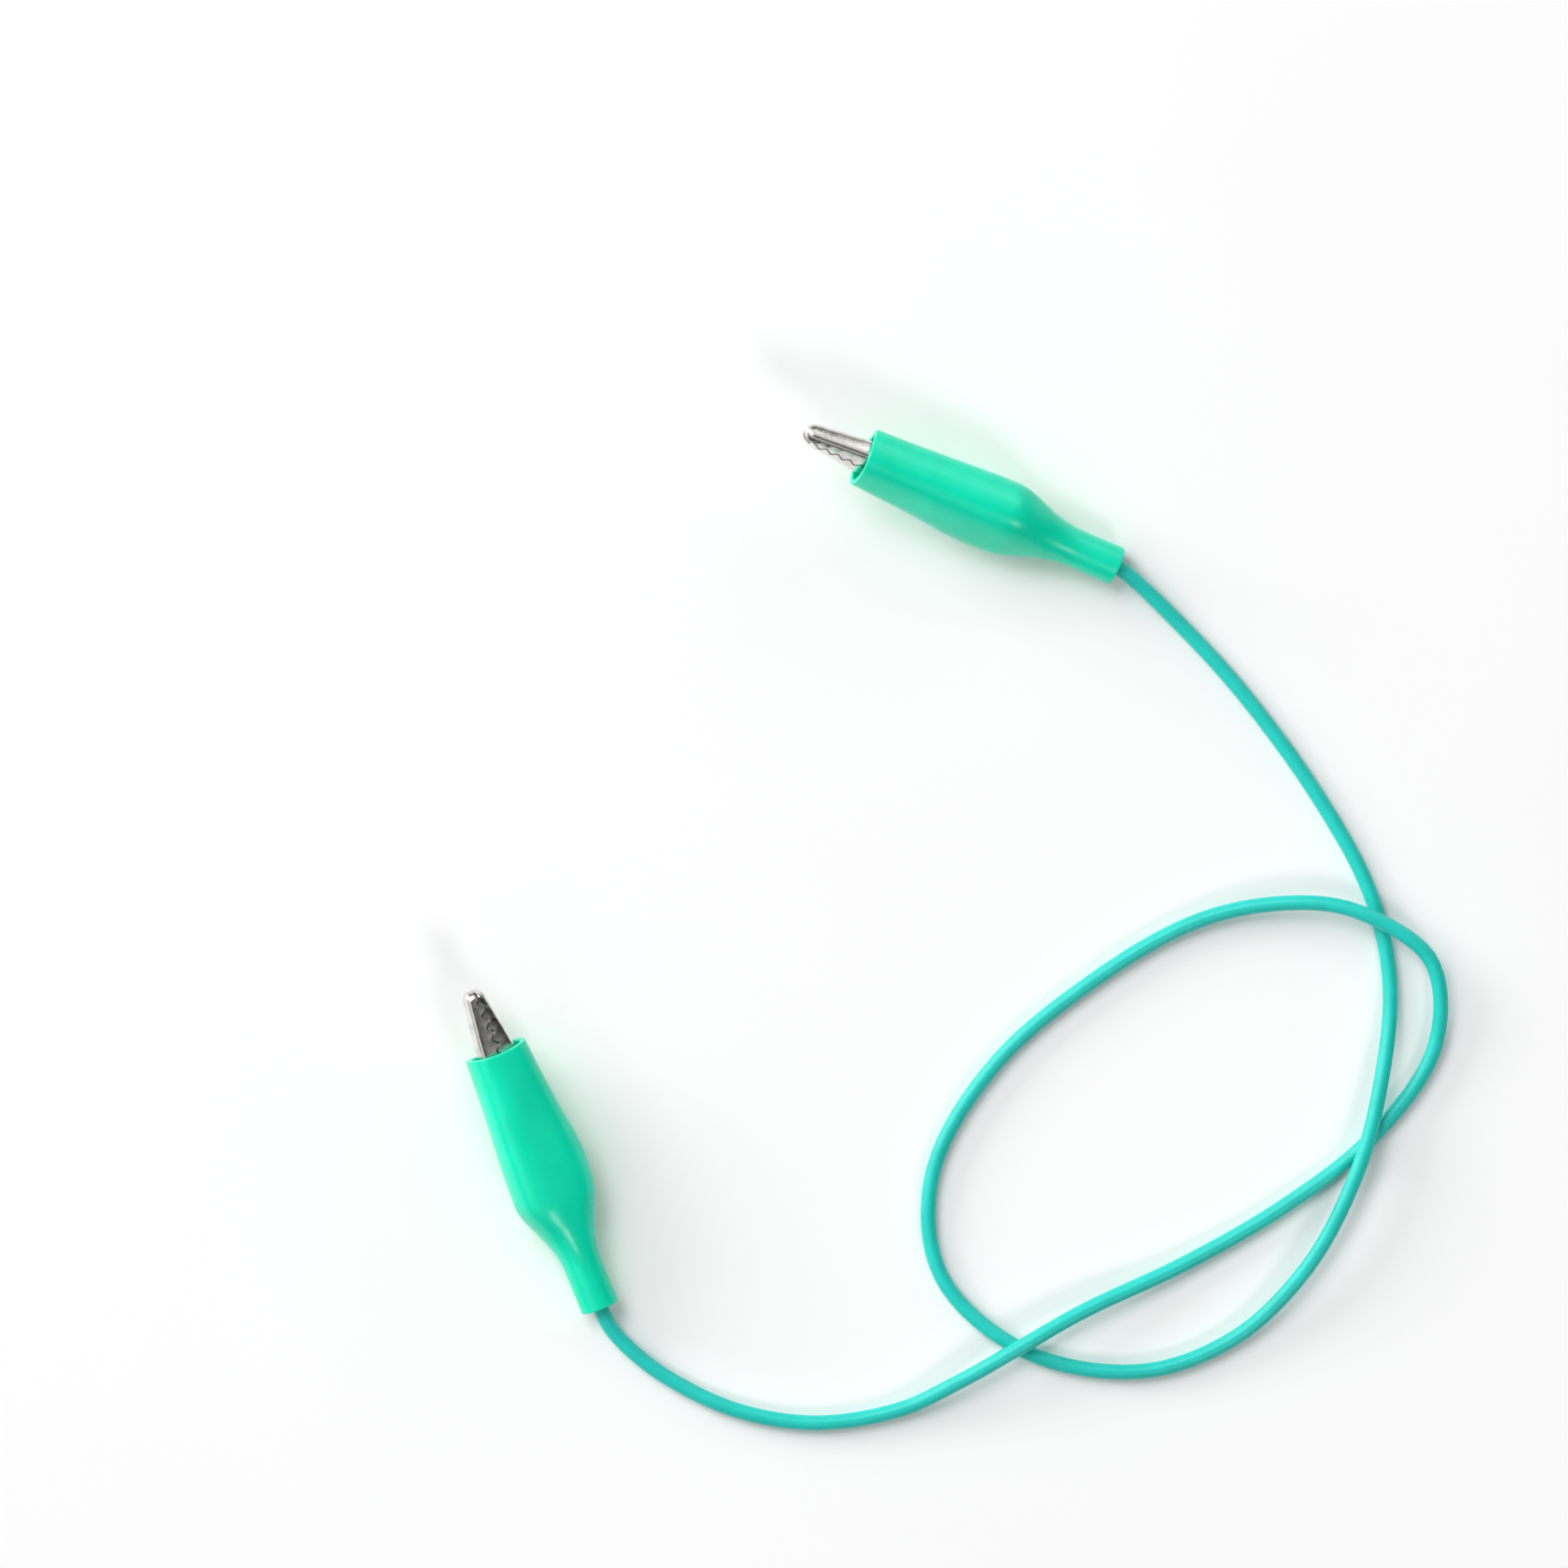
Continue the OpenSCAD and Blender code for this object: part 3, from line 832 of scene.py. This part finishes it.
class CLIPLEAD_OT_jaws(bpy.types.Operator):
    """Folds the fixed and the moving jaw of each clip from sheet"""

    bl_idname = "cliplead.jaws"
    bl_label = "Jaws"

    def execute(self, context):
        s = sizes()
        nested_ear = EAR_HALF - s["sheet"] - SIDE_GAP
        for side in SIDES:
            nickel = nickel_material(side)
            upper = folded_jaw(s, nested_ear, 1.0)
            self.finish_jaw(upper, "moving_jaw", side, nickel, RIVET_R + RUN_GAP, f"jaw_{side}")
            lower = folded_jaw(s, EAR_HALF, -1.0)
            bmesh.ops.scale(lower, vec=(1.0, 1.0, -1.0), verts=lower.verts)
            bmesh.ops.reverse_faces(lower, faces=lower.faces)
            self.finish_jaw(lower, "fixed_jaw", side, nickel, RIVET_R, "lead")
            self.tabs(side, s, nickel)
        return {"FINISHED"}

    def finish_jaw(self, bm, kind, side, nickel, hole, body):
        """Thickens the sheet, pierces the ears and eases the cut edges."""
        piece = new_piece(f"pressed_{kind}_{side}", bm)
        sheet = piece.modifiers.new("sheet", "SOLIDIFY")
        sheet.thickness = sizes()["sheet"]
        sheet.offset = -1.0
        add_bevel(piece, 0.06, 3, 55)
        apply_modifiers(piece)
        cut_hole(piece, hole)
        clear_slivers(piece)
        lay(piece, side)
        shade(piece, 40)
        dress(piece, nickel)
        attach(piece, body)
        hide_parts(f"{kind}_{side}")

    def tabs(self, side, s, nickel):
        """The wire's two crimps, on the fixed jaw's handle."""
        bm = bmesh.new()
        crimp_tabs(bm, OUTER_CRIMP, s["wire"] / 2, s)
        crimp_tabs(bm, INNER_CRIMP, 1.5 * s["strand"] + BED, s)
        bmesh.ops.recalc_face_normals(bm, faces=bm.faces)
        piece = new_piece(f"crimp_tabs_{side}", bm)
        sheet = piece.modifiers.new("sheet", "SOLIDIFY")
        sheet.thickness = 0.3
        sheet.offset = 0.0
        add_bevel(piece, 0.05, 2, 50)
        apply_modifiers(piece)
        lay(piece, side)
        shade(piece, 40)
        dress(piece, nickel)
        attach(piece, "lead")
        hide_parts(f"fixed_jaw_{side}")


# ---------------------------------------------------------------- small parts


class CLIPLEAD_OT_rivets(bpy.types.Operator):
    """Turns the rivet of each clip"""

    bl_idname = "cliplead.rivets"
    bl_label = "Rivets"

    def execute(self, context):
        head_r, dome, half = 1.5, 0.42, EAR_HALF
        rim = [(RIVET_R, 0.0), (RIVET_R, half - 0.02), (RIVET_R + 0.06, half + 0.01), (head_r - 0.12, half)]
        edge = [(head_r * math.cos(a), half + 0.06 + dome * math.sin(a)) for a in (0.0, 0.12, 0.3)]
        top = [
            (head_r * math.cos(a) ** 0.8, half + 0.03 + dome * math.sin(a)) for a in (0.5, 0.8, 1.1, 1.35)
        ]
        cup = [(0.32, half + dome - 0.01), (0.2, half + dome - 0.1), (0.0, half + dome - 0.12)]
        outline = rim + edge + top + cup
        for side in SIDES:
            bm = bmesh.new()
            verts = [bm.verts.new((r, y, 0.0)) for r, y in outline]
            edges = [bm.edges.new(pair) for pair in zip(verts, verts[1:])]
            bmesh.ops.spin(
                bm, geom=verts + edges, cent=(0, 0, 0), axis=(0, 1, 0), angle=2 * math.pi, steps=48,
                use_merge=True,
            )
            bmesh.ops.mirror(bm, geom=bm.verts[:] + bm.edges[:] + bm.faces[:], axis="Y", merge_dist=0.001)
            bmesh.ops.remove_doubles(bm, verts=bm.verts, dist=0.001)
            bmesh.ops.recalc_face_normals(bm, faces=bm.faces)
            piece = new_piece(f"domed_rivet_{side}", bm)
            lay(piece, side)
            shade(piece, 50)
            dress(piece, bpy.data.materials[f"nickel_plate_{side}"])
            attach(piece, "lead")
            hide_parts(f"rivet_{side}")
        return {"FINISHED"}


class CLIPLEAD_OT_springs(bpy.types.Operator):
    """Winds the torsion spring of each clip"""

    bl_idname = "cliplead.springs"
    bl_label = "Springs"

    def execute(self, context):
        s = sizes()
        coil_r = RIVET_R + COIL_ROOM + s["spring"] / 2
        lift = s["sheet"] + s["spring"] / 2 + LEG_ROOM
        moving_foot = Vector((MOVING_FOOT_X, handle_z(MOVING_FOOT_X) - lift))
        fixed_foot = Vector((FIXED_FOOT_X, lift - handle_z(FIXED_FOOT_X)))
        start = math.atan2(moving_foot.y, moving_foot.x) - math.acos(coil_r / moving_foot.length)
        finish = math.atan2(fixed_foot.y, fixed_foot.x) + math.acos(coil_r / fixed_foot.length)
        sweep = start - finish + 2 * math.pi * SPRING_TURNS
        width = 0.5 * sweep / (2 * math.pi)
        for side in SIDES:
            self.spring(side, s, coil_r, start, sweep, width, moving_foot, fixed_foot)
        return {"FINISHED"}

    def spring(self, side, s, coil_r, start, sweep, width, moving_foot, fixed_foot):
        """A ring of wire spun round the hinge, with a straight leg drawn out at each end."""
        steps = 90
        bm = bmesh.new()
        face_on = Matrix.Translation((coil_r, width / 2, 0))
        placed = Matrix.Rotation(-start, 4, "Y") @ face_on
        made = bmesh.ops.create_circle(bm, segments=14, radius=s["spring"] / 2, matrix=placed)
        ring = made["verts"][:]
        spun = bmesh.ops.spin(
            bm, geom=ring + bm.edges[:], cent=(0, 0, 0), axis=(0, 1, 0), angle=sweep, steps=steps,
            dvec=(0, -width / steps, 0),
        )["geom_last"]
        last = [v for v in spun if isinstance(v, bmesh.types.BMVert)]
        self.leg(bm, ring, Vector((moving_foot.x, width / 2, moving_foot.y)))
        self.leg(bm, last, Vector((fixed_foot.x, -width / 2, fixed_foot.y)))
        bmesh.ops.remove_doubles(bm, verts=bm.verts, dist=0.001)
        bmesh.ops.recalc_face_normals(bm, faces=bm.faces)
        piece = new_piece(f"wound_spring_{side}", bm)
        lay(piece, side)
        shade(piece, 50)
        dress(piece, steel_material(side))
        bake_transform(piece)
        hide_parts(f"torsion_spring_{side}")

    def leg(self, bm, ring, foot):
        """Draws the wire's open end out to foot and closes it."""
        edges = [e for e in bm.edges if e.verts[0] in ring and e.verts[1] in ring]
        middle = sum((v.co for v in ring), Vector()) / len(ring)
        for share in (0.35, 0.7, 1.0):
            drawn = bmesh.ops.extrude_edge_only(bm, edges=edges)["geom"]
            fresh = [v for v in drawn if isinstance(v, bmesh.types.BMVert)]
            edges = [
                e for e in drawn if isinstance(e, bmesh.types.BMEdge) and all(v in fresh for v in e.verts)
            ]
            now = sum((v.co for v in fresh), Vector()) / len(fresh)
            bmesh.ops.translate(bm, vec=middle.lerp(foot, share) - now, verts=fresh)
        bmesh.ops.contextual_create(bm, geom=edges)


class CLIPLEAD_OT_conductor_ends(bpy.types.Operator):
    """Twists the bare copper strands at each end of the wire"""

    bl_idname = "cliplead.conductor_ends"
    bl_label = "Conductor ends"

    def execute(self, context):
        s = sizes()
        length = (CORE_END_X - JACKET_END_X) * math.hypot(1, HANDLE_SLOPE)
        tilt = Matrix.Rotation(-math.atan(HANDLE_SLOPE), 4, "Y")
        for side in SIDES:
            bm = bmesh.new()
            self.strand(bm, s, 0.0, 0.0, length - 0.2)
            for i in range(6):
                self.strand(bm, s, s["strand"] + 0.01, math.radians(60 * i), length - 0.25 * (i % 3))
            bmesh.ops.recalc_face_normals(bm, faces=bm.faces)
            start = Matrix.Translation((JACKET_END_X, 0.0, crimp_z(JACKET_END_X, s)))
            bmesh.ops.transform(bm, matrix=start @ tilt, verts=bm.verts)
            piece = new_piece(f"copper_strands_{side}", bm)
            lay(piece, side)
            shade(piece, 50)
            dress(piece, copper_material(side))
            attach(piece, "lead")
            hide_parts(f"conductor_end_{side}")
        return {"FINISHED"}

    def strand(self, bm, s, radius, angle, length):
        """One strand: a ring drawn along X while it turns about the bundle's axis."""
        steps, twist = 16, math.radians(150)
        spot = Matrix.Rotation(angle, 4, "X") @ Matrix.Translation((0.0, 0.0, radius))
        upright = Matrix.Rotation(math.pi / 2, 4, "Y")
        before = set(bm.edges)
        ring = bmesh.ops.create_circle(
            bm, cap_ends=True, segments=10, radius=s["strand"] / 2, matrix=spot @ upright
        )["verts"]
        edges = [e for e in bm.edges if e not in before]
        spun = bmesh.ops.spin(
            bm, geom=ring + edges, cent=(0, 0, 0), axis=(1, 0, 0), angle=twist, steps=steps,
            dvec=(length / steps, 0, 0),
        )["geom_last"]
        bmesh.ops.contextual_create(bm, geom=[e for e in spun if isinstance(e, bmesh.types.BMEdge)])


class CLIPLEAD_PT_panel(bpy.types.Panel):
    """Lists the lead's parts, sizes and colours"""

    bl_idname = "CLIPLEAD_PT_panel"
    bl_label = "Alligator Clip Lead"
    bl_space_type = "VIEW_3D"
    bl_region_type = "UI"
    bl_category = "Clip Lead"

    def draw(self, context):
        for operator in OPERATORS:
            self.layout.operator(operator.bl_idname)
        for group in (context.scene.clip_lead_sizes, context.scene.clip_lead_colours):
            for name in type(group).__annotations__:
                self.layout.prop(group, name)


OPERATORS = (
    CLIPLEAD_OT_stage,
    CLIPLEAD_OT_wire,
    CLIPLEAD_OT_sleeves,
    CLIPLEAD_OT_jaws,
    CLIPLEAD_OT_rivets,
    CLIPLEAD_OT_springs,
    CLIPLEAD_OT_conductor_ends,
)
CLASSES = (ClipLeadSizes, ClipLeadColours, *OPERATORS, CLIPLEAD_PT_panel)


def register():
    """Adds the classes and the scene's two groups of properties."""
    for cls in CLASSES:
        bpy.utils.register_class(cls)
    bpy.types.Scene.clip_lead_sizes = bpy.props.PointerProperty(type=ClipLeadSizes)
    bpy.types.Scene.clip_lead_colours = bpy.props.PointerProperty(type=ClipLeadColours)


def unregister():
    """Takes them away again."""
    del bpy.types.Scene.clip_lead_colours
    del bpy.types.Scene.clip_lead_sizes
    for cls in reversed(CLASSES):
        bpy.utils.unregister_class(cls)


def main():
    """Builds the whole lead."""
    register()
    bpy.ops.cliplead.stage()
    bpy.ops.cliplead.wire()
    bpy.ops.cliplead.sleeves()
    bpy.ops.cliplead.jaws()
    bpy.ops.cliplead.rivets()
    bpy.ops.cliplead.springs()
    bpy.ops.cliplead.conductor_ends()


if __name__ == "__main__":
    main()
